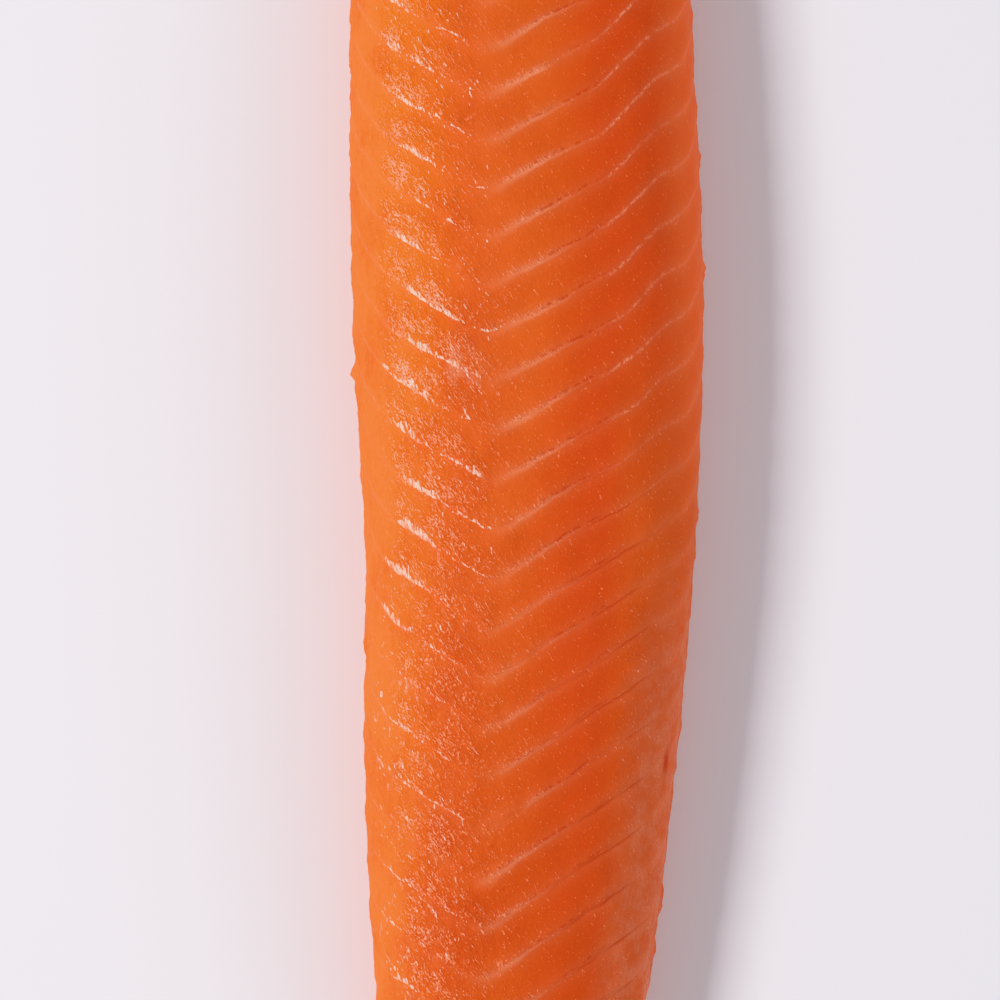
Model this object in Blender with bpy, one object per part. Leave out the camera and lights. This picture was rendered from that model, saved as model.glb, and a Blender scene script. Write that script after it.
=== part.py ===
"""A raw steelhead trout loin: the boneless strip along the fish's back, skinned and cut across at both ends.

Lengths are in millimetres until the mesh is scaled to metres. +Y is the head end, +X the thin side, +Z up.
"""

import math

import bmesh
import bpy
import numpy as np

MM = 0.001

# The outline along the loin, tail first: place, thick side, thin side, height of the crest
STATIONS = np.array(
    (
        (-156.0, -18.6, 6.4, 14.0),
        (-110.0, -22.6, 14.2, 18.6),
        (-72.0, -25.6, 20.2, 22.2),
        (-32.0, -27.6, 25.2, 25.0),
        (5.0, -27.5, 28.5, 26.6),
        (45.0, -29.6, 30.0, 27.0),
        (90.0, -30.1, 28.5, 26.0),
        (156.0, -27.8, 24.4, 22.4),
    )
)

# The cross-section: four quarters of rounded outlines that meet at the crest and at the widest points
CREST_SHARE = 0.41  # of the width, from the thick side
THICK_WIDEST, THIN_WIDEST = 0.38, 0.27  # height of the widest point, as a share of the crest's
THICK_ROUND = (2.0, 2.3)  # exponents of the upper outline, across and up
THIN_ROUND = (1.75, 2.6)
UNDER_ROUND = (7.0, 2.4)
UNDER_DROP = 1.2  # how far the lower quarters would reach, as a share of the widest point's height

# The flakes: layers of muscle that meet at thin pale walls, a row of chevrons with their points to the tail
FIRST_WALL = 98.0  # where wall 0 crosses the keel line
WALL_GAP, WALL_GAP_GROWTH = 7.8, 0.0171  # walls lie further apart towards the tail
KEEL_SHARE = 0.385  # the chevrons' points, as a share of the width from the thick side
KEEL_ROUND = 2.0
THICK_SLOPE, THICK_STEEP, THICK_BEND = 0.62, 0.9, 17.0  # an arm's slope, and what it gains past its bend
THIN_SLOPE_HEAD, THIN_SLOPE_TAIL = 0.54, 0.66
THIN_STEEP_HEAD, THIN_STEEP_TAIL = 0.5, 0.12
SLOPE_HEAD_AT, SLOPE_TAIL_AT = 35.0, -5.0  # where the slopes of the head end and of the tail end are reached
THIN_BEND_HEAD, THIN_BEND_TAIL = 18.8, 25.6
BEND_HEAD_AT, BEND_TAIL_AT = 90.0, 20.0
THIN_LEVEL, THIN_FLATTEN = 29.0, 0.6
SIDE_DEPTH, SIDE_SLOPE = 10.0, 1.0  # below this depth a chevron leans back down the side
FIRST_ROW, LAST_ROW, PAST_TAIL = -8, 42, 62.0  # the rows' walls, and how far past the tail cut they may lie

# Each flake's head side lies lower than its tail edge, which laps over the next flake
LAP_PLACES, LAP_HEIGHTS = (0.08, 0.45, 0.90), (-1.0, 0.1, 1.0)
THICK_LAP, THIN_LAP = 0.34, 0.17
KEEL_BLEND = 4.0  # the two sides' laps blend over this distance on either side of the keel line
LAP_STARTS, LAP_FULL = 0.5, 5.0  # heights: the underside is smooth

# The knife's two cuts: distance from the middle and lean, across and up
HALF_LENGTH = 150.0
HEAD_CUT_LEAN, TAIL_CUT_LEAN = (-0.06, 0.16), (0.10, -0.12)

# The mesh: columns run along the loin and rows follow the flakes
TOP_COLUMNS, UNDER_COLUMNS = 37, 7
COLUMNS_AT = 20.0  # the columns are spaced on the section at this place
SPACING_STEPS, FLAT_BELOW = 1000, 0.01
ROW_ROUNDS = 12  # a row's place depends on its section, and that on its place, so it is found in rounds
ANGLE_STEP = 0.01  # to either side of a point, for the direction its surface faces
WELD, SHORTEST_EDGE = 0.001, 0.02

FLESH_COLOUR = (0.78, 0.16, 0.035, 1.0)
FLESH_ROUGHNESS = 0.38


def smooth(low, high, value):
    """0 below low, 1 above high, and a soft step between."""
    share = np.clip((value - low) / (high - low), 0.0, 1.0)
    return share * share * (3.0 - 2.0 * share)


def ramp(value, softness=0.8):
    """0 below 0, value above it, with a rounded corner."""
    return softness * np.logaddexp(0.0, value / softness)


def along(column, y):
    """The smooth curve through one column of STATIONS."""
    places, values = STATIONS[:, 0], STATIONS[:, column]
    slopes = np.gradient(values, places)
    y = np.clip(y, places[0], places[-1])
    i = np.clip(np.searchsorted(places, y) - 1, 0, len(places) - 2)
    span = places[i + 1] - places[i]
    t = (y - places[i]) / span
    start = (1 + 2 * t) * (1 - t) ** 2 * values[i] + t * (1 - t) ** 2 * span * slopes[i]
    end = t * t * (3 - 2 * t) * values[i + 1] + t * t * (t - 1) * span * slopes[i + 1]
    return start + end


def section(angle, y):
    """The cross-section at y: angle 0 is the thin side, pi / 2 the crest and pi the thick side."""
    thick, thin, height = along(1, y), along(2, y), along(3, y)
    crest = thick + CREST_SHARE * (thin - thick)
    right, top = np.cos(angle) > 0, np.sin(angle) > 0
    widest = height * np.where(right, THIN_WIDEST, THICK_WIDEST)
    upper = np.where(right, THIN_ROUND[0], THICK_ROUND[0]), np.where(right, THIN_ROUND[1], THICK_ROUND[1])
    across = np.abs(np.cos(angle)) ** (2.0 / np.where(top, upper[0], UNDER_ROUND[0]))
    up = np.abs(np.sin(angle)) ** (2.0 / np.where(top, upper[1], UNDER_ROUND[1]))
    x = crest + across * np.where(right, thin - crest, thick - crest)
    z = widest + up * np.where(top, height - widest, -UNDER_DROP * widest)
    return x, np.maximum(z, 0.0)


def keel_line(y):
    """The x of the chevrons' points."""
    return along(1, y) + KEEL_SHARE * (along(2, y) - along(1, y))


def chevron(x, y, z):
    """How far towards the head a wall lies at x and z from where it crosses the keel line."""
    out = x - keel_line(y)
    far = np.sqrt(out * out + KEEL_ROUND**2) - KEEL_ROUND
    tail = smooth(SLOPE_HEAD_AT, SLOPE_TAIL_AT, y)
    bend = np.interp(y, (BEND_TAIL_AT, BEND_HEAD_AT), (THIN_BEND_TAIL, THIN_BEND_HEAD))
    thin_rise = (THIN_SLOPE_HEAD + (THIN_SLOPE_TAIL - THIN_SLOPE_HEAD) * tail) * far
    thin_rise += (THIN_STEEP_HEAD + (THIN_STEEP_TAIL - THIN_STEEP_HEAD) * tail) * ramp(out - bend)
    thin_rise -= THIN_FLATTEN * ramp(out - THIN_LEVEL)
    thick_rise = THICK_SLOPE * far + THICK_STEEP * ramp(-out - THICK_BEND)
    down_side = SIDE_SLOPE * ramp(along(3, y) - z - SIDE_DEPTH)
    return np.where(out > 0, thin_rise, thick_rise) + down_side


def wall_place(wall):
    """Where a wall, or a share of the way to the next one, crosses the keel line."""
    return FIRST_WALL - WALL_GAP * wall - WALL_GAP_GROWTH * wall * wall


def lap(wall, x, y, z):
    """How far the flakes stand out from the plain form."""
    most = THIN_LAP + (THICK_LAP - THIN_LAP) * smooth(-KEEL_BLEND, KEEL_BLEND, keel_line(y) - x)
    return most * smooth(LAP_STARTS, LAP_FULL, z) * np.interp(wall, LAP_PLACES, LAP_HEIGHTS, period=1.0)


def column_angles():
    """Angles round the section, evenly spaced over the top and further apart under the loin."""
    share = np.linspace(-1.0, 1.0, SPACING_STEPS + 1)[1:]
    under = 1.5 * math.pi + 0.5 * math.pi * np.sign(share) * np.abs(share) ** (UNDER_ROUND[0] / 2)
    angle = np.concatenate((np.linspace(0.0, math.pi, 3 * SPACING_STEPS + 1), under))
    x, z = section(angle, np.full_like(angle, COLUMNS_AT))
    step = np.hypot(np.diff(x), np.diff(z))
    flat = z[1:] + z[:-1] < FLAT_BELOW
    weight = np.where(flat, UNDER_COLUMNS / step[flat].sum(), TOP_COLUMNS / step[~flat].sum())
    travelled = np.concatenate(([0.0], np.cumsum(step * weight)))
    return np.interp(np.arange(TOP_COLUMNS + UNDER_COLUMNS + 1), travelled, angle)


def surface(angle, wall):
    """Points of the loin's form, in rows that follow the flakes, with the flakes' relief on it."""
    y = wall_place(wall)
    for _ in range(ROW_ROUNDS):
        x, z = section(angle, y)
        y = wall_place(wall) + chevron(x, y, z)
    x, z = section(angle, y)
    ahead_x, ahead_z = section(angle + ANGLE_STEP, y)
    behind_x, behind_z = section(angle - ANGLE_STEP, y)
    out_x, out_z = ahead_z - behind_z, behind_x - ahead_x
    out = lap(wall, x, y, z) / np.maximum(np.hypot(out_x, out_z), 1e-6)
    return np.stack((x + out * out_x, y, np.maximum(z + out * out_z, 0.0)), axis=-1)


def flake_rows():
    """Rows at each lap's low, middle and high place, from past the head cut to past the tail cut."""
    rows = np.array([wall + place for wall in range(FIRST_ROW, LAST_ROW + 1) for place in LAP_PLACES])
    return rows[wall_place(rows) > -HALF_LENGTH - PAST_TAIL]


def cut(bm, end, lean):
    """Takes off what lies beyond a flat cut, and closes it."""
    point = (0.0, end * HALF_LENGTH, 0.0)
    normal = (end * lean[0], end, end * lean[1])
    cut_edges = bmesh.ops.bisect_plane(
        bm,
        geom=bm.verts[:] + bm.edges[:] + bm.faces[:],
        plane_co=point,
        plane_no=normal,
        clear_outer=True,
    )["geom_cut"]
    edges = [part for part in cut_edges if isinstance(part, bmesh.types.BMEdge)]
    bmesh.ops.edgeloop_fill(bm, edges=edges)


def make_loin():
    angles, rows = column_angles(), flake_rows()
    bm = bmesh.new()
    bmesh.ops.create_grid(bm, x_segments=len(angles) - 1, y_segments=len(rows) - 1, size=0.5)
    across = np.array([round((v.co.x + 0.5) * (len(angles) - 1)) for v in bm.verts])
    down = np.array([round((v.co.y + 0.5) * (len(rows) - 1)) for v in bm.verts])
    for v, point in zip(bm.verts, surface(angles[across], rows[down])):
        v.co = point
    bmesh.ops.remove_doubles(bm, verts=bm.verts, dist=WELD)
    cut(bm, 1, HEAD_CUT_LEAN)
    cut(bm, -1, TAIL_CUT_LEAN)
    bmesh.ops.dissolve_degenerate(bm, dist=SHORTEST_EDGE, edges=bm.edges)
    bmesh.ops.triangulate(bm, faces=bm.faces)
    bmesh.ops.recalc_face_normals(bm, faces=bm.faces)
    corners = np.array([v.co for v in bm.verts])
    middle = (corners.min(axis=0) + corners.max(axis=0)) / 2
    bmesh.ops.translate(bm, verts=bm.verts, vec=(-middle[0], -middle[1], 0.0))
    bmesh.ops.scale(bm, verts=bm.verts, vec=(MM, MM, MM))
    mesh = bpy.data.meshes.new("loin")
    bm.to_mesh(mesh)
    bm.free()
    mesh.shade_smooth()
    return bpy.data.objects.new("loin", mesh)


def flesh():
    material = bpy.data.materials.new("raw_trout")
    material.use_nodes = True
    shader = material.node_tree.nodes["Principled BSDF"]
    shader.inputs["Base Color"].default_value = FLESH_COLOUR
    shader.inputs["Roughness"].default_value = FLESH_ROUGHNESS
    shader.inputs["Metallic"].default_value = 0.0
    return material


for old in list(bpy.data.objects):
    bpy.data.objects.remove(old, do_unlink=True)
loin = make_loin()
loin.data.materials.append(flesh())
bpy.context.scene.collection.objects.link(loin)
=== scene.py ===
"""A raw steelhead trout loin on a pale table, in soft light mostly from its thick side, seen from above."""

import math

import bmesh
import bpy
import numpy as np
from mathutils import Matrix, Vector, noise


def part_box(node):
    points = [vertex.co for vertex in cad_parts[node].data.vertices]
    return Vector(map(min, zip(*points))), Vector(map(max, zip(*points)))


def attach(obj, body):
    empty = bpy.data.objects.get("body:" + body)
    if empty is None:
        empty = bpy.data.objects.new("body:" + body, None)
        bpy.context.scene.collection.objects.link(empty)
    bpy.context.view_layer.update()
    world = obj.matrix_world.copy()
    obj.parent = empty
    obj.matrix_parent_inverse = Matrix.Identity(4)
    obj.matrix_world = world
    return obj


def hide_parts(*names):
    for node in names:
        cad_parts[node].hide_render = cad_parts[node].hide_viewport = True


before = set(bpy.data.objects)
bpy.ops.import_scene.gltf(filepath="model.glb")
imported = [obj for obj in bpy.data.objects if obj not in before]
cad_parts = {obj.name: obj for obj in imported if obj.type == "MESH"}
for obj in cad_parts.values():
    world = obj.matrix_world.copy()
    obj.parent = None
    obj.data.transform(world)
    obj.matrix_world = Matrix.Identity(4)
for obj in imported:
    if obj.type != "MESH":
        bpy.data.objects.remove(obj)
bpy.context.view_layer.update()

# ---- The loin's form ------------------------------------------------------------------------------------------------
# The boneless strip along the fish's back, skinned and cut across at both ends: thick and round on the -X side, thin
# on the +X side, flat below. It is one tube of flesh, drawn in rows that follow its flakes, and its lengths are in
# millimetres until its mesh is done. Its outline and its flakes are the solid's own.

MM = 0.001

# The outline along the loin, tail first: place, thick side, thin side, height of the crest
STATIONS = np.array(
    (
        (-156.0, -18.6, 6.4, 14.0),
        (-110.0, -22.6, 14.2, 18.6),
        (-72.0, -25.6, 20.2, 22.2),
        (-32.0, -27.6, 25.2, 25.0),
        (5.0, -27.5, 28.5, 26.6),
        (45.0, -29.6, 30.0, 27.0),
        (90.0, -30.1, 28.5, 26.0),
        (156.0, -27.8, 24.4, 22.4),
    )
)
CREST_SHARE = 0.41  # of the width, from the thick side
THICK_WIDEST, THIN_WIDEST = 0.38, 0.27  # height of the widest point, as a share of the crest's
THICK_ROUND, THIN_ROUND, UNDER_ROUND = (2.0, 2.3), (1.75, 2.6), (7.0, 2.4)  # exponents, across and up
UNDER_DROP = 1.2  # how far the lower quarters would reach, as a share of the widest point's height
HALF_LENGTH = 150.0
HEAD_CUT_LEAN, TAIL_CUT_LEAN = (-0.06, 0.16), (0.10, -0.12)


def smooth(low, high, value):
    """0 below low, 1 above high, and a soft step between."""
    share = np.clip((value - low) / (high - low), 0.0, 1.0)
    return share * share * (3.0 - 2.0 * share)


def ramp(value, softness=0.8):
    """0 below 0, value above it, with a rounded corner."""
    return softness * np.logaddexp(0.0, value / softness)


def along(column, y):
    """The smooth curve through one column of STATIONS."""
    places, values = STATIONS[:, 0], STATIONS[:, column]
    slopes = np.gradient(values, places)
    y = np.clip(y, places[0], places[-1])
    i = np.clip(np.searchsorted(places, y) - 1, 0, len(places) - 2)
    span = places[i + 1] - places[i]
    t = (y - places[i]) / span
    start = (1 + 2 * t) * (1 - t) ** 2 * values[i] + t * (1 - t) ** 2 * span * slopes[i]
    end = t * t * (3 - 2 * t) * values[i + 1] + t * t * (t - 1) * span * slopes[i + 1]
    return start + end


def section(angle, y):
    """The cross-section at y: angle 0 is the thin side, pi / 2 the crest and pi the thick side."""
    thick, thin, height = along(1, y), along(2, y), along(3, y)
    crest = thick + CREST_SHARE * (thin - thick)
    right, top = np.cos(angle) > 0, np.sin(angle) > 0
    widest = height * np.where(right, THIN_WIDEST, THICK_WIDEST)
    upper = np.where(right, THIN_ROUND[0], THICK_ROUND[0]), np.where(right, THIN_ROUND[1], THICK_ROUND[1])
    across = np.abs(np.cos(angle)) ** (2.0 / np.where(top, upper[0], UNDER_ROUND[0]))
    up = np.abs(np.sin(angle)) ** (2.0 / np.where(top, upper[1], UNDER_ROUND[1]))
    x = crest + across * np.where(right, thin - crest, thick - crest)
    z = widest + up * np.where(top, height - widest, -UNDER_DROP * widest)
    return x, np.maximum(z, 0.0)


# ---- The flakes -----------------------------------------------------------------------------------------------------
# The muscle lies in layers that thin pale walls divide. On the surface they are chevrons with their points to the
# tail, and each layer's tail edge stands a little proud of the next one. The number of the wall, and its share of
# the way to the next, is worked out for every point, and carried to the material.

FIRST_WALL = 98.0  # where wall 0 crosses the keel line
WALL_GAP, WALL_GAP_GROWTH = 7.8, 0.0171  # walls lie further apart towards the tail
KEEL_SHARE = 0.385  # the chevrons' points, as a share of the width from the thick side
KEEL_ROUND = 2.0
THICK_SLOPE, THICK_STEEP, THICK_BEND = 0.62, 0.9, 17.0  # an arm's slope, and what it gains past its bend
THIN_SLOPE_HEAD, THIN_SLOPE_TAIL = 0.54, 0.66
THIN_STEEP_HEAD, THIN_STEEP_TAIL = 0.5, 0.12
SLOPE_HEAD_AT, SLOPE_TAIL_AT = 35.0, -5.0
THIN_BEND_HEAD, THIN_BEND_TAIL = 18.8, 25.6
BEND_HEAD_AT, BEND_TAIL_AT = 90.0, 20.0
THIN_LEVEL, THIN_FLATTEN = 29.0, 0.6
SIDE_DEPTH, SIDE_SLOPE = 10.0, 1.0  # below this depth a chevron leans back down the side
LAP_LOW, LAP_HIGH, LAP_CLIMB = 0.02, 0.95, 0.85  # where a flake is lowest and highest, and how it climbs
SEED_STEP = (17.3, 5.1, 9.7)
GRAIN_GAIN = 1.4


def keel_line(y):
    """The x of the chevrons' points."""
    return along(1, y) + KEEL_SHARE * (along(2, y) - along(1, y))


def chevron(x, y, z):
    """How far towards the head a wall lies at x and z from where it crosses the keel line."""
    out = x - keel_line(y)
    far = np.sqrt(out * out + KEEL_ROUND**2) - KEEL_ROUND
    tail = smooth(SLOPE_HEAD_AT, SLOPE_TAIL_AT, y)
    bend = np.interp(y, (BEND_TAIL_AT, BEND_HEAD_AT), (THIN_BEND_TAIL, THIN_BEND_HEAD))
    thin_rise = (THIN_SLOPE_HEAD + (THIN_SLOPE_TAIL - THIN_SLOPE_HEAD) * tail) * far
    thin_rise += (THIN_STEEP_HEAD + (THIN_STEEP_TAIL - THIN_STEEP_HEAD) * tail) * ramp(out - bend)
    thin_rise -= THIN_FLATTEN * ramp(out - THIN_LEVEL)
    thick_rise = THICK_SLOPE * far + THICK_STEEP * ramp(-out - THICK_BEND)
    down_side = SIDE_SLOPE * ramp(along(3, y) - z - SIDE_DEPTH)
    return np.where(out > 0, thin_rise, thick_rise) + down_side


def wall_place(wall):
    """Where a wall, or a share of the way to the next one, crosses the keel line."""
    return FIRST_WALL - WALL_GAP * wall - WALL_GAP_GROWTH * wall * wall


def wall_number(place):
    """The wall that crosses the keel line at a place: wall_place turned round."""
    inside = WALL_GAP**2 + 4 * WALL_GAP_GROWTH * (FIRST_WALL - place)
    return (np.sqrt(inside) - WALL_GAP) / (2 * WALL_GAP_GROWTH)


def grain(points, size, seed, octaves=1):
    """Smooth noise from -1 to 1 at each point, with lumps of about that size."""
    shift = Vector([seed * step for step in SEED_STEP])
    values = [noise.fractal(Vector(p) / size + shift, 1.0, 2.0, octaves) for p in points]
    return np.clip(np.array(values) * GRAIN_GAIN, -1.0, 1.0)


def lap(share):
    """A flake's height from its head side, low, to its tail edge, high, with the drop to the next flake."""
    climb = 2.0 * np.clip((share - LAP_LOW) / (LAP_HIGH - LAP_LOW), 0.0, 1.0) ** LAP_CLIMB - 1.0
    drop = smooth(LAP_HIGH, 1.0 + LAP_LOW, np.where(share < LAP_LOW, share + 1.0, share))
    return climb - 2.0 * drop * (share > LAP_HIGH) - (share < LAP_LOW) * 2.0 * (drop - 1.0)


# ---- The loin's mesh ------------------------------------------------------------------------------------------------
# A grid rolled into a tube and closed at both knife cuts by rings that shrink to the middle, with the cuts' rims
# softly rounded. It replaces the solid, whose form it keeps.

TOP_COLUMNS, UNDER_COLUMNS, ROWS = 150, 22, 470
COLUMNS_AT = 20.0  # the columns are spaced on the section at this place
SPACING_STEPS, FLAT_BELOW = 1000, 0.01
ROW_GATHER = 0.72  # rows lie closer together about the walls
ROW_FADE_HEAD, ROW_FADE_TAIL, ROW_SHEAR = 62.0, 45.0, 24.0
ROW_ROUNDS = 14  # a row's place depends on its section, and that on its place, so it is found in rounds
ANGLE_STEP = 0.01
WELD = 0.01

THICK_LAP, THIN_LAP = 0.27, 0.13
KEEL_BLEND, KEEL_DEPTH, KEEL_REACH = 4.0, 0.3, 9.0  # laps are shallower beside the keel line
LAP_STARTS, LAP_FULL = 0.5, 5.0  # heights: the underside is smooth
LUMP_SIZE, CRUMB_SIZE, TORN_SIZE = 5.0, 1.6, 2.2
LUMPY_LAP, LUMP_RISE = 0.45, 0.10
TORN_THIN, TORN_THICK, TORN_CRUMBS = 0.015, 0.02, 0.02  # how far, in flakes, a lap's edge is torn
CRUMB_RISE, CRUMB_RISE_THICK = 0.02, 0.05
EDGE_AT, EDGE_BAND, EDGE_RISE = 0.32, 3.0, 0.16  # the uneven outline, at a share of the crest's height
FRAY_ABOVE, FRAY_HEIGHT = 0.8, 1.5
FRAYS = (  # where, side, how far along, how far out: torn bits at the edges
    (73.0, 1, 1.3, 0.55),
    (54.2, 1, 1.5, 1.05),
    (36.8, -1, 1.2, 0.6),
    (12.0, 1, 1.5, 0.4),
    (-24.0, 1, 2.2, 0.45),
    (-53.5, 1, 2.6, 0.6),
    (-62.0, 1, 1.6, 0.5),
)
WANDERS = ((0.05, 11.0, 4), (0.03, 3.0, 5))  # how far, in flakes, a wall wanders; lumps' size; seed

RIM, RIM_RINGS = 1.1, 4
CUT_RINGS, CUT_CROWN = 16, 0.5


def column_angles():
    """Angles round the section, evenly spaced over the top and further apart under the loin."""
    share = np.linspace(-1.0, 1.0, SPACING_STEPS + 1)[1:]
    under = 1.5 * math.pi + 0.5 * math.pi * np.sign(share) * np.abs(share) ** (UNDER_ROUND[0] / 2)
    angle = np.concatenate((np.linspace(0.0, math.pi, 3 * SPACING_STEPS + 1), under))
    x, z = section(angle, np.full_like(angle, COLUMNS_AT))
    step = np.hypot(np.diff(x), np.diff(z))
    flat = z[1:] + z[:-1] < FLAT_BELOW
    weight = np.where(flat, UNDER_COLUMNS / step[flat].sum(), TOP_COLUMNS / step[~flat].sum())
    travelled = np.concatenate(([0.0], np.cumsum(step * weight)))
    return np.interp(np.arange(TOP_COLUMNS + UNDER_COLUMNS + 1), travelled, angle)


def row_walls():
    """The wall number of each row, with the rows gathered about the walls."""
    first, last = wall_number(HALF_LENGTH), wall_number(-HALF_LENGTH)
    wall = np.linspace(first, last, ROWS + 1)
    gathered = wall - ROW_GATHER * np.sin(2 * math.pi * wall) / (2 * math.pi)
    ends = smooth(first, first + 1.0, wall) * smooth(last, last - 1.0, wall)
    return wall + (gathered - wall) * ends


def place_rows(angle, wall):
    """x, y and z of the plain form: rows are straight at the cuts and follow the flakes between them."""
    share = (wall_place(wall) + HALF_LENGTH) / (2 * HALF_LENGTH)
    y = wall_place(wall)
    for _ in range(ROW_ROUNDS):
        x, z = section(angle, y)
        head = HALF_LENGTH - HEAD_CUT_LEAN[0] * x - HEAD_CUT_LEAN[1] * z - RIM
        tail = -HALF_LENGTH - TAIL_CUT_LEAN[0] * x - TAIL_CUT_LEAN[1] * z + RIM
        straight = tail + share * (head - tail)
        follow = smooth(0.0, ROW_FADE_HEAD, head - straight) * smooth(0.0, ROW_FADE_TAIL, straight - tail)
        y = straight + follow * ROW_SHEAR * np.tanh(chevron(x, y, z) / ROW_SHEAR)
    return section(angle, y) + (y,)


def wall_at(points):
    """The wall number at any points on or in the flesh."""
    x, y, z = points.T
    wander = sum(far * grain(points, size, seed) for far, size, seed in WANDERS)
    return wall_number(y - chevron(x, y, z)) + wander


def flesh_points(angle, wall):
    """Points of the finished surface: the plain form with laps, lumps and frayed edges on it."""
    x, z, y = place_rows(angle, wall)
    ahead_x, ahead_z = section(angle + ANGLE_STEP, y)
    behind_x, behind_z = section(angle - ANGLE_STEP, y)
    out = np.stack((ahead_z - behind_z, np.zeros_like(x), behind_x - ahead_x), axis=-1)
    out /= np.maximum(np.linalg.norm(out, axis=1), 1e-6)[:, None]
    points = np.stack((x, y, z), axis=-1)
    thick_side = smooth(-KEEL_BLEND, KEEL_BLEND, keel_line(y) - x)
    off_keel = smooth(0.0, KEEL_REACH, np.abs(x - keel_line(y)))
    lumps, crumbs = grain(points, LUMP_SIZE, 1, 2), grain(points, CRUMB_SIZE, 2, 2)
    torn = grain(points, TORN_SIZE, 3, 2)
    depth = (THIN_LAP + (THICK_LAP - THIN_LAP) * thick_side) * (KEEL_DEPTH + (1.0 - KEEL_DEPTH) * off_keel)
    ragged = (TORN_THIN + TORN_THICK * thick_side) * torn + TORN_CRUMBS * thick_side * crumbs
    rise = depth * (1.0 + LUMPY_LAP * lumps) * lap(np.mod(wall_at(points) + ragged, 1.0))
    rise += LUMP_RISE * lumps + (CRUMB_RISE + CRUMB_RISE_THICK * thick_side) * crumbs
    height = along(3, y)
    for where, side, length, reach in FRAYS:
        fray_height = height * (THIN_WIDEST if side > 0 else THICK_WIDEST) + FRAY_ABOVE
        fray = np.exp(-(((y - where) / length) ** 4) - ((z - fray_height) / FRAY_HEIGHT) ** 2)
        rise += reach * fray * (side * out[:, 0] > 0) * (0.8 + 0.5 * crumbs)
    rise += EDGE_RISE * np.exp(-(((z - EDGE_AT * height) / EDGE_BAND) ** 2)) * torn
    points += out * (smooth(LAP_STARTS, LAP_FULL, z) * rise)[:, None]
    points[:, 2] = np.maximum(points[:, 2], 0.0)
    return points


def close_end(bm, rim, middle, outward, source, inset):
    """Rounds the rim of a cut and closes it with rings that shrink to its middle.

    The layers source and inset get the place on the rim that a point came from, and its distance in.
    """
    loop = rim
    start = {vertex: vertex.co.copy() for vertex in loop}
    for ring in range(1, RIM_RINGS + CUT_RINGS + 1):
        edges = [e for e in dict.fromkeys(edge for v in loop for edge in v.link_edges) if e.is_boundary]
        made = bmesh.ops.extrude_edge_only(bm, edges=edges)["geom"]
        fresh = [part for part in made if isinstance(part, bmesh.types.BMVert)]
        came_from = {}
        for vertex in fresh:
            old = next(e.other_vert(vertex) for e in vertex.link_edges if e.other_vert(vertex) in start)
            came_from[vertex] = start[old]
        turn = min(ring / RIM_RINGS, 1.0) * math.pi / 2
        inward = max(ring - RIM_RINGS, 0) / CUT_RINGS
        for vertex, first in came_from.items():
            to_middle = middle - first
            length = to_middle.length
            step = RIM * (1.0 - math.cos(turn)) + inward * (length - RIM)
            crown = CUT_CROWN * (1.0 - (1.0 - inward) ** 2)
            vertex.co = first + to_middle * (step / length) + outward * (RIM * math.sin(turn) + crown)
            vertex[source], vertex[inset] = first, step
        start = came_from
        loop = fresh
    bmesh.ops.pointmerge(bm, verts=loop, merge_co=sum((v.co for v in loop), Vector()) / len(loop))


angles, walls = column_angles(), row_walls()
bm = bmesh.new()
bmesh.ops.create_grid(bm, x_segments=len(angles) - 1, y_segments=ROWS, size=0.5)
columns = np.array([round((v.co.x + 0.5) * (len(angles) - 1)) for v in bm.verts])
rows = np.array([round((v.co.y + 0.5) * ROWS) for v in bm.verts])
source, inset = bm.verts.layers.float_vector.new("source"), bm.verts.layers.float.new("inset")
for vertex, point in zip(bm.verts, flesh_points(angles[columns], walls[rows])):
    vertex.co = vertex[source] = point
rims = [[v for v, row in zip(bm.verts, rows) if row == end] for end in (0, ROWS)]
bmesh.ops.remove_doubles(bm, verts=bm.verts, dist=WELD)
for rim, lean, end in zip(rims, (HEAD_CUT_LEAN, TAIL_CUT_LEAN), (1, -1)):
    rim = [v for v in rim if v.is_valid]
    middle = sum((v.co for v in rim), Vector()) / len(rim)
    close_end(bm, rim, middle, Vector((lean[0], 1.0, lean[1])).normalized() * end, source, inset)
bmesh.ops.recalc_face_normals(bm, faces=bm.faces)
# The faces of the cuts are made in an order that varies from run to run, so all are sorted by their corners
bm.verts.index_update()
corners = {face: [v.index for v in face.verts] for face in bm.faces}
bm.faces.sort(key=lambda face: min(corners[face]) * len(bm.verts) + sum(corners[face]))
points = np.array([v.co for v in bm.verts])
sources, insets = np.array([v[source] for v in bm.verts]), np.array([v[inset] for v in bm.verts])
middle = (points.min(axis=0) + points.max(axis=0)) / 2
low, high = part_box("loin")
shift = ((low + high) / 2 / MM - Vector(middle)).to_3d()
bmesh.ops.translate(bm, verts=bm.verts, vec=(shift.x, shift.y, 0.0))
bmesh.ops.scale(bm, verts=bm.verts, vec=(MM, MM, MM))
mesh = bpy.data.meshes.new("flesh")
bm.to_mesh(mesh)
bm.free()
mesh.shade_smooth()
loin = bpy.data.objects.new("loin_flesh", mesh)
bpy.context.scene.collection.objects.link(loin)
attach(loin, "root")
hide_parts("loin")

# ---- The marks on the flesh -----------------------------------------------------------------------------------------
# Fat, thin films, torn fibres and knife marks lie in bands along the loin, and so do painted light and shade: a
# lighter thick side, a darker thin side and tail, a painted rim of light, and painted glints and shade on the marks.
# The mesh carries to its finish how much of each there is at every point. A profile gives that as (distance from the
# keel line, amount), and a band gives where something begins and where it is full. On the cuts the walls are nested
# rings.


def profile(stops, value):
    """The amount at a value, on straight runs between the stops."""
    values, amounts = zip(*stops)
    return np.interp(value, values, amounts)


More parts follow.
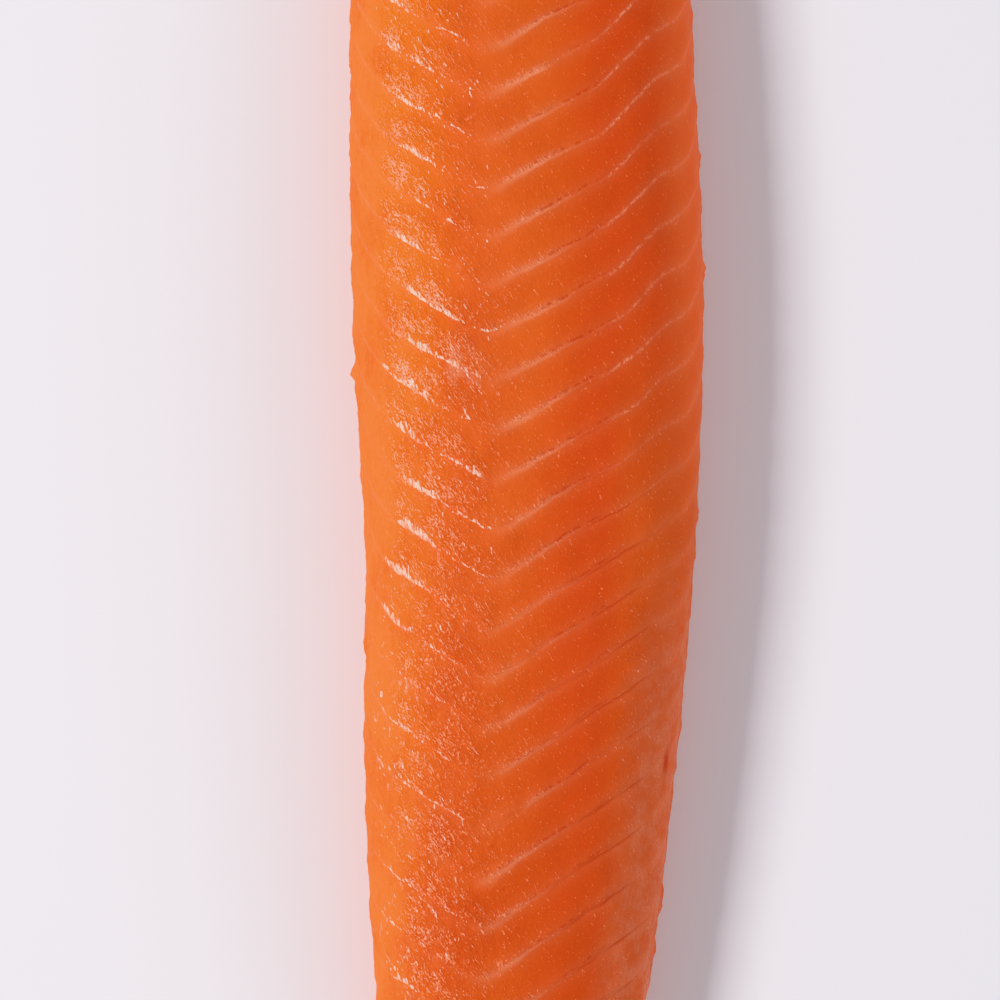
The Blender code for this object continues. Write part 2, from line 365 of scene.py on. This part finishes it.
CUT_GAP = 5.0  # between the rings on the cuts
SIDE_BAND = (1.5, -2.5)
TAIL_BAND, FAR_TAIL_BAND, HEAD_BAND = (55.0, 5.0), (12.0, -20.0), (42.0, 58.0)
TOP_BAND, LOW_BAND, UNDER_BAND = (0.30, 0.45), (0.36, 0.12), (1.2, 0.2)
x, y, z = points.T
across = x - keel_line(y)
edge = np.minimum(along(2, y) - x, x - along(1, y))
number = wall_at(sources) + insets / CUT_GAP
on_cut = smooth(0.5 * RIM, 1.5 * RIM, insets)
on_top = smooth(*TOP_BAND, z / along(3, y)) * (1.0 - on_cut)
under = smooth(*UNDER_BAND, z) * (1.0 - on_cut)
inside = np.maximum(on_cut, smooth(*LOW_BAND, z / along(3, y)))
thick_side = smooth(*SIDE_BAND, across)
thin_side = (1.0 - thick_side) * (1.0 - on_cut)
tailward, far_tailward, headward = smooth(*TAIL_BAND, y), smooth(*FAR_TAIL_BAND, y), smooth(*HEAD_BAND, y)

# No two walls are alike: each has its own shift, strength, width and paleness, and gaps where it is weak
WALLS = 64
random = np.random.default_rng(5).random((4, WALLS))
shift, strength, width, paleness = random[:, np.rint(number).astype(int) % WALLS]
PIECE_LUMPS, BLOTCH_LUMPS = 9.0, 2.6
piece, blotch = grain(points, PIECE_LUMPS, 11), grain(points, BLOTCH_LUMPS, 12, 2)

# The walls' pale lenses beside the keel line, and their thin lines further out
LENS_HEAD = ((-1.0, 0.0), (1.5, 0.18), (4.0, 0.65), (8.5, 1.2), (12.0, 0.6), (15.0, 0.08), (17.0, 0.0))
LENS_TAIL_THICK = ((-16.0, 0.0), (-12.0, 0.13), (-2.0, 0.17), (0.0, 0.35))
LENS_TAIL = LENS_TAIL_THICK + ((3.0, 0.60), (6.0, 0.82), (9.0, 0.57), (12.0, 0.26), (17.0, 0.0))
LENS_GAPS, LINE_GAPS = (-0.75, -0.1), (-0.9, -0.2)
LENS_HEAD_SOFT = ((0.0, 0.5), (4.0, 0.75), (9.0, 0.9), (15.0, 0.6), (20.0, 0.35))
LENS_TAIL_SOFT = ((0.0, 1.3), (4.0, 0.8), (8.0, 0.33), (14.0, 0.3), (20.0, 0.24), (36.0, 0.28))
LINE_THICK = ((-24.0, 0.6), (-17.0, 0.35), (-13.0, 0.0))
LINE_THIN = ((10.0, 0.0), (14.0, 0.15), (18.0, 0.2), (20.0, 0.5), (22.5, 1.3))
LINE_EDGE = ((25.5, 0.95), (29.0, 0.55), (34.0, 0.4), (38.0, 0.35))
LINE_SIDE_THIN, LINE_SIDE_THICK, LINE_CUT = 0.4, 0.4, 1.6
LINE_TAIL_FADE, LINE_TAIL_BAND = 0.85, (13.0, 20.0)
lens = profile(LENS_HEAD, across)
lens += (profile(LENS_TAIL, across) - lens) * far_tailward
lens *= on_top * smooth(*LENS_GAPS, piece) * (0.7 + 0.5 * paleness)
line = profile(LINE_THICK + LINE_THIN + LINE_EDGE, across)
line *= (1.0 - LINE_TAIL_FADE * tailward * smooth(*LINE_TAIL_BAND, across)) * (0.6 + 0.4 * on_top)
line *= 0.8 + 0.4 * paleness
line = np.maximum(line, (LINE_SIDE_THIN + LINE_SIDE_THICK * thick_side) * (1.0 - on_top))
line *= smooth(*LINE_GAPS, piece)
line += (LINE_CUT - line) * on_cut

# The grooves and pits where the flakes part, painted darker as the shade in them
GROOVE = ((12.0, 0.0), (16.0, 0.5), (19.0, 0.7), (24.0, 0.7), (27.0, 0.25), (31.0, 0.0))
GROOVE_GAPS, GROOVE_LUMPS, GROOVE_HIDES = (-0.5, 0.3), 6.0, 0.7
PITS, PIT_GAPS = ((6.0, 0.0), (10.0, 1.0), (18.0, 1.0), (22.0, 0.0)), (-0.6, 0.2)
groove = profile(GROOVE, across) * on_top * (0.3 + 1.0 * tailward)
groove *= smooth(*GROOVE_GAPS, grain(points, GROOVE_LUMPS, 14))
line *= 1.0 - GROOVE_HIDES * groove
pits = profile(PITS, across) * on_top * smooth(*PIT_GAPS, piece)

# The torn fibres on the flakes' tail edges, over part of each edge, with painted highlights on them
DASH_SHIFT, DASH_GAPS, DASH_LUMPS, DASH_INSET = 4.5, (-0.35, 0.3), 5.0, (1.5, 3.5)
DASH_HEAD = ((-16.5, 0.0), (-15.0, 1.05), (-10.5, 1.05), (-8.0, 0.70), (-1.5, 0.55), (0.5, 0.0))
DASH_TAIL_OUTER = ((-21.0, 0.0), (-19.8, 0.9), (-17.0, 0.9), (-14.5, 0.42))
DASH_TAIL = DASH_TAIL_OUTER + ((-9.0, 0.3), (-7.0, 0.62), (-4.0, 0.55), (-1.0, 0.0))
DASH_SOFT, DASH_SOFT_MOST = ((-15.0, 2.1), (-12.0, 1.2), (-8.0, 0.6), (-1.0, 0.5)), 1.4
along_dash = across + DASH_SHIFT * (shift - 0.5)
dash = profile(DASH_HEAD, along_dash) * (1.0 - 0.9 * far_tailward)
dash += profile(DASH_TAIL, along_dash) * far_tailward
dash *= on_top * smooth(*DASH_INSET, edge) * (0.4 + 0.75 * strength)
dash *= 0.42 + 0.78 * smooth(*DASH_GAPS, grain(points, DASH_LUMPS, 17))
dash_soft = profile(DASH_SOFT, along_dash) * (1.0 - 0.6 * far_tailward)
dash_soft = np.minimum(dash_soft * (1.2 + 0.8 * blotch) * (0.4 + 0.8 * width), DASH_SOFT_MOST)

# The wet wrinkled surface of the thick side, with one sore spot on it, and finer drops further out: it sets where the
# wrinkles' gloss and painted glints lie
WET = ((-30.0, 1.0), (-9.0, 1.0), (-3.0, 0.45), (2.0, 0.15), (8.0, 0.05), (36.0, 0.0))
WET_NARROWER, WET_INSET = 4.0, (3.8, 7.0)  # narrower towards the head, and clear of the outline
SORE_X, SORE_Y, SORE_WIDTH, SORE_LENGTH = -11.6, 37.0, 3.4, 3.2
DEW, DEW_INSET = ((-30.0, 0.45), (-4.0, 0.45), (4.0, 0.25), (14.0, 0.0)), (1.5, 7.0)
wet = profile(WET, across + WET_NARROWER * headward) * on_top * smooth(*WET_INSET, edge)
wet *= (1.0 - 0.55 * tailward) * (0.76 + 0.32 * blotch)
sore = np.exp(-(((x - SORE_X) / SORE_WIDTH) ** 2) - ((y - SORE_Y) / SORE_LENGTH) ** 2) * on_top
dew = profile(DEW, across) * on_top * smooth(*DEW_INSET, edge)
dew *= (0.35 + 0.45 * tailward) * (0.8 + 0.6 * blotch)

# Short cuts of the knife's point, painted dark as shade inside, and the scrapes of its blade, painted pale partly as
# glints
GASH_WIDTH = 0.45
GASHES = (  # x, y, lean, half the length, depth
    (23.4, -29.4, 0.12, 2.2, 1.6),
    (-14.2, 38.0, -0.15, 4.2, 0.6),
    (-10.4, 35.2, 0.1, 2.6, 0.6),
)
SCRAPE_AND_GLINT = ((-24.0, 0.0), (-19.0, 1.0), (-8.0, 1.0), (-2.0, 0.5), (3.0, 0.0))
SCRAPE_AND_GLINT_GAPS, SCRAPE_AND_GLINT_LUMPS = (-0.2, 0.5), 3.5
gash = np.zeros_like(x)
for gash_x, gash_y, lean, reach, depth in GASHES:
    off = (x - gash_x - lean * (y - gash_y)) / GASH_WIDTH
    gash = np.maximum(gash, depth * np.exp(-(off**2) - ((y - gash_y) / reach) ** 2) * on_top)
scrape_and_glint = profile(SCRAPE_AND_GLINT, across) * on_top * tailward
scrape_and_glint *= 0.35 + 0.65 * smooth(*SCRAPE_AND_GLINT_GAPS, grain(points, SCRAPE_AND_GLINT_LUMPS, 16))

# The thin silvery film: along the thin edge, more of it towards the tail, and under the whole loin
FILM_BAND, PAINTED_RIM_BAND, BRINK_BAND = (9.0, 3.0), (9.0, 2.0), (1.8, 0.3)  # distances in from the outline
FILM_WIDER = 4.0  # far towards the tail
FILM_LEAST, FILM_TAIL, FILM_BRINK, FILM_UNDER = 0.12, 0.7, 0.35, 1.1
SORE_GAPS = (-0.2, 0.3)
film = smooth(FILM_BAND[0] + FILM_WIDER * far_tailward, FILM_BAND[1], edge)
film *= FILM_LEAST + FILM_TAIL * far_tailward * on_top
film = thin_side * (film + FILM_BRINK * smooth(*BRINK_BAND, edge))
film = np.maximum(film, FILM_UNDER * under) * (0.7 + 0.4 * blotch) + sore * smooth(*SORE_GAPS, blotch)
# A painted rim of light along the thin edge
painted_rim_light = thin_side * smooth(*PAINTED_RIM_BAND, edge) * (1.0 - 0.7 * tailward)

# The flesh goes from light on the thick side to dark and back to light at the thin edge: partly its own colour, and
# partly painted light on the thick side, which faces the lamp, painted shade where the thin side turns away from it,
# and a painted rim of light at the thin edge. It is deeper in patches and along fibres, and darker towards the tail,
# where the darkening is painted shade.
DEEP_PATCH, DEEP_GAPS, DEEP_SIDE = 0.3, (-0.2, 0.6), 0.35
DEEP_FIBRE, FIBRE_LUMPS, FIBRE_SHORTENED = 0.16, 1.1, (1.0, 0.16, 1.0)
TAIL_PAINTED_SHADE, TAIL_PAINTED_SHADE_BAND, TAIL_PAINTED_SHADE_ACROSS_BAND = 0.55, (45.0, -60.0), (-18.0, 0.0)
tone = smooth(-16.0 - 4.0 * tailward, -2.0 - 2.0 * tailward, across)
# Painted shade where the thin side turns away from the lamp
painted_shade = smooth(6.0 - 5.0 * tailward, 22.0 - 6.0 * tailward, across) * (1.0 - 0.9 * smooth(30.0, 36.0, across))
painted_shade *= 1.0 - 0.7 * tailward * smooth(18.0, 24.0, across)
deep_and_tail_shade = DEEP_PATCH * smooth(*DEEP_GAPS, piece) * (DEEP_SIDE + (1.0 - DEEP_SIDE) * on_top)
deep_and_tail_shade += DEEP_FIBRE * grain(points * FIBRE_SHORTENED, FIBRE_LUMPS, 13, 2) * thick_side
# Painted shade: the flesh darker towards the tail, where the light falls off
deep_and_tail_shade += TAIL_PAINTED_SHADE * smooth(*TAIL_PAINTED_SHADE_BAND, y) * smooth(*TAIL_PAINTED_SHADE_ACROSS_BAND, across)

for name, values in {
    "wall": number,
    "head_soft": profile(LENS_HEAD_SOFT, across) * (1.0 - 0.3 * tailward),
    "tail_soft": profile(LENS_TAIL_SOFT, across),
    "thick_side": thick_side,
    "on_top": on_top,
    "lens": lens,
    "line": line,
    "groove": groove,
    "gash": gash,
    "pits": pits,
    "dash": dash,
    "dash_soft": dash_soft,
    "scrape_and_glint": scrape_and_glint,
    "wet": np.maximum(wet, 0.9 * sore),
    "dew": dew,
    "film": film,
    "tone": tone,
    "painted_shade": painted_shade,
    "rim": painted_rim_light,
    "inside": inside,
    "deep_and_tail_shade": np.clip(deep_and_tail_shade, 0.0, 1.0),
}.items():
    mesh.attributes.new(name, "FLOAT", "POINT").data.foreach_set("value", values.astype(np.float32))

# ---- The flesh's finish ---------------------------------------------------------------------------------------------
# Wet raw muscle, clear enough for light to sink in: orange flesh, pale walls between the flakes, painted shade in the
# gaps where the flakes part, a thin silvery film at the thin edge, and a rough wet surface on the thick side that
# glitters, partly from its gloss and partly from painted glints and highlights. The places and heights in it are
# millimetres.


class Field:
    """A number that varies over a surface: one output socket of a material's nodes."""

    def __init__(self, tree, socket):
        self.tree, self.socket = tree, socket

    def __add__(self, other):
        return maths("ADD", self, other)

    __radd__ = __add__

    def __sub__(self, other):
        return maths("SUBTRACT", self, other)

    def __rsub__(self, other):
        return maths("SUBTRACT", other, self)

    def __mul__(self, other):
        return maths("MULTIPLY", self, other)

    __rmul__ = __mul__

    def __truediv__(self, other):
        return maths("DIVIDE", self, other)

    def bell(self, width):
        """1 where the number is 0, falling off on both sides over width."""
        share = self / width
        return maths("EXPONENT", share * share * -1.0)


def maths(operation, *inputs):
    """Adds a Math node on these numbers to the material of the fields among them."""
    tree = next(value.tree for value in inputs if isinstance(value, Field))
    node = tree.nodes.new("ShaderNodeMath")
    node.operation = operation
    for socket, value in zip(node.inputs, inputs):
        if isinstance(value, Field):
            tree.links.new(value.socket, socket)
        else:
            socket.default_value = value
    return Field(tree, node.outputs[0])


class Finish:
    """A material under construction."""

    def __init__(self, name):
        self.material = bpy.data.materials.new(name)
        self.material.use_nodes = True
        self.tree = self.material.node_tree
        self.shader = self.tree.nodes["Principled BSDF"]

    def node(self, kind, settings, inputs, output=0):
        """Adds a node: its settings first, then the values or links of its sockets."""
        node = self.tree.nodes.new("ShaderNode" + kind)
        for name, value in settings.items():
            setattr(node, name, value)
        for name, value in inputs.items():
            self.put(node.inputs[name], value)
        return Field(self.tree, node.outputs[output])

    def put(self, socket, value):
        """Gives a socket its value or link."""
        if isinstance(value, Field):
            self.tree.links.new(value.socket, socket)
        else:
            socket.default_value = value

    def carried(self, name):
        """A number that the mesh carries at its points."""
        return self.node("Attribute", {"attribute_name": name}, {}, "Fac")

    def step(self, value, low, high):
        """0 at low, 1 at high, soft between."""
        inputs = {"Value": value, "From Min": low, "From Max": high}
        return self.node("MapRange", {"interpolation_type": "SMOOTHSTEP"}, inputs)

    def blend(self, amount, first, second):
        """The first colour going over to the second: inputs 6 and 7 and output 2 are the node's colours."""
        return self.node("Mix", {"data_type": "RGBA"}, {0: amount, 6: first, 7: second}, 2)

    def spots(self, vector, scale, detail=2.0, roughness=0.5):
        """Noise about 0.5, with scale lumps to one unit of the vector."""
        inputs = {"Vector": vector, "Scale": scale, "Detail": detail, "Roughness": roughness}
        return self.node("TexNoise", {}, inputs)

    def stretched(self, vector, size, turn=0.0):
        """The vector, squeezed so that noise on it has lumps of that size along x, y and z, turned about z."""
        inputs = {"Vector": vector, "Rotation": (0.0, 0.0, turn), "Scale": size}
        return self.node("Mapping", {"vector_type": "TEXTURE"}, inputs)


flesh = Finish("raw_trout_flesh")
coordinates = flesh.node("TexCoord", {}, {}, "Object")
place = flesh.node("VectorMath", {"operation": "SCALE"}, {0: coordinates, "Scale": 1.0 / MM})
thick_side, on_top = flesh.carried("thick_side"), flesh.carried("on_top")
lens, line, groove, dash = (flesh.carried(name) for name in ("lens", "line", "groove", "dash"))

# How far each point is from the nearest wall, towards the head and towards the tail
FLAKE = 8.2  # the usual gap between two walls
RAGGED_THIN, RAGGED_THICK = 0.05, 0.10  # how far, in flakes, a wall is ragged
ragged = flesh.spots(place, 0.7, 2.0, 0.6)
number = flesh.carried("wall") + (ragged - 0.5) * (RAGGED_THIN + RAGGED_THICK * thick_side)
share = maths("FRACT", number)
past_wall = share * FLAKE
before_wall = (1.0 - share) * FLAKE

# Four grains of the flesh: crumbs, fine wrinkles and wide folds slanting across, and fibres along the loin
FINE_SIZE, FINE_TURN = (0.44, 0.18, 0.30), -0.90
FOLD_SIZE, FOLD_TURN = (1.9, 0.40, 0.80), -0.95
FIBRE_SIZE, FIBRE_TURN = (0.30, 1.6, 0.6), 0.10
bits = flesh.spots(place, 1.1, 2.0, 0.65)
fine = flesh.spots(flesh.stretched(place, FINE_SIZE, FINE_TURN), 1.0, 0.5)
folds = flesh.spots(flesh.stretched(place, FOLD_SIZE, FOLD_TURN), 1.0, 1.0, 0.55)
fibres = flesh.spots(flesh.stretched(place, FIBRE_SIZE, FIBRE_TURN), 1.0, 1.0, 0.6)

# The walls: a pale lens beside the keel line that goes over into a thin pale line towards the thin side
CORE_BEFORE, CORE_PAST = 0.38, 0.28
GROOVE_AT, GROOVE_WIDTH = 0.15, 0.34
PIT_AT, PIT_WIDTH = 0.55, 0.28
soft_before, soft_past = flesh.carried("head_soft"), flesh.carried("tail_soft")
soft_wall = maths("MAXIMUM", before_wall.bell(soft_before), past_wall.bell(soft_past))
core = maths("MAXIMUM", before_wall.bell(CORE_BEFORE), past_wall.bell(CORE_PAST))
core = core * flesh.step(bits, 0.34, 0.58) * (0.35 + flesh.step(fine, 0.35, 0.60))
pale = 0.7 * lens * soft_wall + line * core
in_groove = groove * (past_wall - GROOVE_AT).bell(GROOVE_WIDTH)
in_pits = flesh.carried("pits") * (before_wall - PIT_AT).bell(PIT_WIDTH) * flesh.step(bits, 0.44, 0.56)
# Painted shade: darker in the grooves, pits and gashes
dark = maths("MAXIMUM", maths("MAXIMUM", in_groove, in_pits), flesh.carried("gash"))

# The torn tips of the fibres on the flakes' tail edges, painted pale as highlights, the scrapes, whose paleness is
# partly painted glints, and the fibres of the film
uneven = (fibres - 0.5) * 1.5 + (folds - 0.5) * 1.4
tips_and_highlights = flesh.step(dash * before_wall.bell(flesh.carried("dash_soft")) + uneven, 0.40, 0.56)
tips_and_highlights = tips_and_highlights * flesh.step(dash, 0.0, 0.2)
scrapes_and_glints = flesh.step(fibres + flesh.carried("scrape_and_glint") * 0.28, 0.86, 0.94)
film = flesh.carried("film") * (0.3 + 0.25 * flesh.step(fibres, 0.35, 0.65))

# The wet surface's wrinkles: glossy, and painted pale as glints of light on them; close together where it is roughest
BESIDE_LENS = 1.2
WRINKLE_BY_DENSITY, WRINKLE_BY_FOLDS, WRINKLE_FROM, WRINKLE_FULL = 0.27, 0.60, 0.76, 0.83
beside_lens = before_wall.bell(BESIDE_LENS) * lens * 0.5
wet = flesh.carried("wet")
density = wet * (0.25 + 0.75 * flesh.step(share, 0.12, 0.6)) + flesh.carried("dew") + beside_lens
wrinkles_and_glints = fine + density * WRINKLE_BY_DENSITY + (folds - 0.5) * WRINKLE_BY_FOLDS
wrinkles_and_glints = flesh.step(wrinkles_and_glints, WRINKLE_FROM, WRINKLE_FULL)
# Painted shade in the fine creases between the wrinkles, where the flesh is wettest
painted_crease_shade = flesh.step(fine, 0.46, 0.38) * flesh.step(density, 0.1, 0.7)

# The thick side's colour is partly painted light, and the thin side's partly painted shade
FLESH_THICK = (0.84, 0.187, 0.005, 1.0)
FLESH_THIN = (0.68, 0.116, 0.024, 1.0)
# Painted shade of the thin side
FLESH_PAINTED_SHADE = (0.63, 0.073, 0.018, 1.0)
FLESH_DEEP = (0.56, 0.070, 0.015, 1.0)
# Painted rim of light at the thin edge
FLESH_PAINTED_RIM_LIGHT = (0.80, 0.128, 0.036, 1.0)
FLESH_INSIDE = (0.82, 0.17, 0.055, 1.0)
WALL_PALE = (1.0, 0.52, 0.32, 1.0)
# Painted glints on the wrinkles and scrapes
WRINKLE_PAINTED_GLINT = (1.0, 0.42, 0.25, 1.0)
# Painted highlight on the tips of the fibres at the flakes' tail edges
TIP_PAINTED_HIGHLIGHT = (1.0, 0.74, 0.60, 1.0)
# Painted shade in the grooves, pits, gashes and creases
GAP_PAINTED_SHADE_RED = (0.52, 0.035, 0.006, 1.0)
FILM_GREY = (0.72, 0.38, 0.26, 1.0)
GLOW_BEFORE, GLOW_PAST = 1.9, 1.6  # how far from a wall its pale glow reaches
glow = maths("MAXIMUM", before_wall.bell(GLOW_BEFORE), past_wall.bell(GLOW_PAST)) * (1.0 - thick_side) * on_top
colour = flesh.blend(flesh.carried("tone"), FLESH_THICK, FLESH_THIN)
for amount, over in (
    (flesh.carried("painted_shade"), FLESH_PAINTED_SHADE),
    (flesh.carried("deep_and_tail_shade") + (fibres - 0.5) * 0.6 + (bits - 0.5) * 0.5, FLESH_DEEP),
    (flesh.carried("rim"), FLESH_PAINTED_RIM_LIGHT),
    (flesh.carried("inside"), FLESH_INSIDE),
    (flesh.step(fine, 0.50, 0.75) * 0.12, FLESH_THICK),
    (film * (0.35 + 0.7 * fine), FILM_GREY),
    (glow * 0.06 + pale * 0.33, WALL_PALE),
    (dark * 0.6 + painted_crease_shade * 0.3, GAP_PAINTED_SHADE_RED),
    (wrinkles_and_glints * (0.46 + 0.22 * wet) + scrapes_and_glints * 0.35, WRINKLE_PAINTED_GLINT),
    (tips_and_highlights * (0.12 + 0.62 * flesh.step(fibres, 0.42, 0.60)), TIP_PAINTED_HIGHLIGHT),
):
    colour = flesh.blend(amount, colour, over)
flesh.put(flesh.shader.inputs["Base Color"], colour)

DRY, GLOSSY = 0.72, 0.20  # roughness of the flesh, and of the wrinkles, tips and scrapes on it
FOLD_HEIGHT, FINE_HEIGHT, TIP_HEIGHT = 0.30, 0.15, 0.10
SCRAPE_HEIGHT, PALE_HEIGHT, DARK_DEPTH = 0.05, 0.02, 0.10
relief = folds * FOLD_HEIGHT + fine * FINE_HEIGHT + tips_and_highlights * TIP_HEIGHT
relief = relief + scrapes_and_glints * SCRAPE_HEIGHT + pale * PALE_HEIGHT - dark * DARK_DEPTH
relief = relief * (0.15 + 0.85 * flesh.step(density, 0.0, 0.5))
bump = flesh.node("Bump", {}, {"Strength": 1.0, "Distance": MM, "Height": relief})
gloss = maths("MINIMUM", wrinkles_and_glints * 1.4 + tips_and_highlights + scrapes_and_glints, 1.0)
flesh.put(flesh.shader.inputs["Normal"], bump)
flesh.put(flesh.shader.inputs["Roughness"], DRY - (DRY - GLOSSY) * gloss)
flesh.shader.subsurface_method = "BURLEY"
for name, value in {
    "Subsurface Weight": 1.0,
    "Subsurface Radius": (1.0, 0.45, 0.3),
    "Subsurface Scale": 0.0014,
    "IOR": 1.4,
}.items():
    flesh.shader.inputs[name].default_value = value
mesh.materials.append(flesh.material)

# ---- The table ------------------------------------------------------------------------------------------------------
# A plain pale top, matt, that the loin lies on.

TABLE_SIZE = 6.0
TABLE_COLOUR, TABLE_ROUGHNESS = (0.80, 0.78, 0.81, 1.0), 0.6
bm = bmesh.new()
bmesh.ops.create_grid(bm, x_segments=1, y_segments=1, size=TABLE_SIZE / 2)
table_mesh = bpy.data.meshes.new("table")
bm.to_mesh(table_mesh)
bm.free()
table = bpy.data.objects.new("table", table_mesh)
bpy.context.scene.collection.objects.link(table)
top = Finish("pale_table")
top.shader.inputs["Base Color"].default_value = TABLE_COLOUR
top.shader.inputs["Roughness"].default_value = TABLE_ROUGHNESS
table_mesh.materials.append(top.material)

# ---- Light and camera -----------------------------------------------------------------------------------------------
# A soft light over the thick side, a wider and weaker one over the thin side, a pale room all round, and a camera
# that looks straight down.

LIGHTS = {  # degrees round from +X, degrees up, distance, width, height, watts
    "key": (179.0, 41.0, 1.2, 0.26, 0.34, 13.6),
    "fill": (-4.0, 34.0, 1.2, 0.80, 0.55, 5.5),
}
for name, (turned, up, away, width, height, watts) in LIGHTS.items():
    light_data = bpy.data.lights.new(name, "AREA")
    light_data.shape = "RECTANGLE"
    light_data.size, light_data.size_y = width, height
    light_data.energy = watts
    light = bpy.data.objects.new(name, light_data)
    turned, up = math.radians(turned), math.radians(up)
    level = math.cos(up)
    light.location = away * Vector((math.cos(turned) * level, math.sin(turned) * level, math.sin(up)))
    light.rotation_euler = (-light.location).to_track_quat("-Z", "Y").to_euler()
    light.visible_camera = False
    bpy.context.scene.collection.objects.link(light)

ROOM_COLOUR, ROOM_STRENGTH = (0.87, 0.85, 0.91, 1.0), 0.42
world = bpy.data.worlds.new("room")
world.use_nodes = True
world.node_tree.nodes["Background"].inputs["Color"].default_value = ROOM_COLOUR
world.node_tree.nodes["Background"].inputs["Strength"].default_value = ROOM_STRENGTH
bpy.context.scene.world = world

PIXEL = 60.0 / 351.0  # millimetres of the loin to a pixel of the frame
FRAME_PIXELS = 1000
VIEW_X, VIEW_Y = 28, 85  # the frame's middle is this far from the loin's, in pixels
CAMERA_HEIGHT = 0.62
EDGE_HEIGHT = 0.009  # the height of the widest outline, which the scale is true for
SENSOR = 36.0
camera_data = bpy.data.cameras.new("camera")
camera_data.sensor_width = SENSOR
camera_data.lens = SENSOR * (CAMERA_HEIGHT - EDGE_HEIGHT) / (FRAME_PIXELS * PIXEL * MM)
camera = bpy.data.objects.new("camera", camera_data)
camera.location = (-VIEW_X * PIXEL * MM, VIEW_Y * PIXEL * MM, CAMERA_HEIGHT)
bpy.context.scene.collection.objects.link(camera)
bpy.context.scene.camera = camera
bpy.context.scene.view_settings.view_transform = "Khronos PBR Neutral"
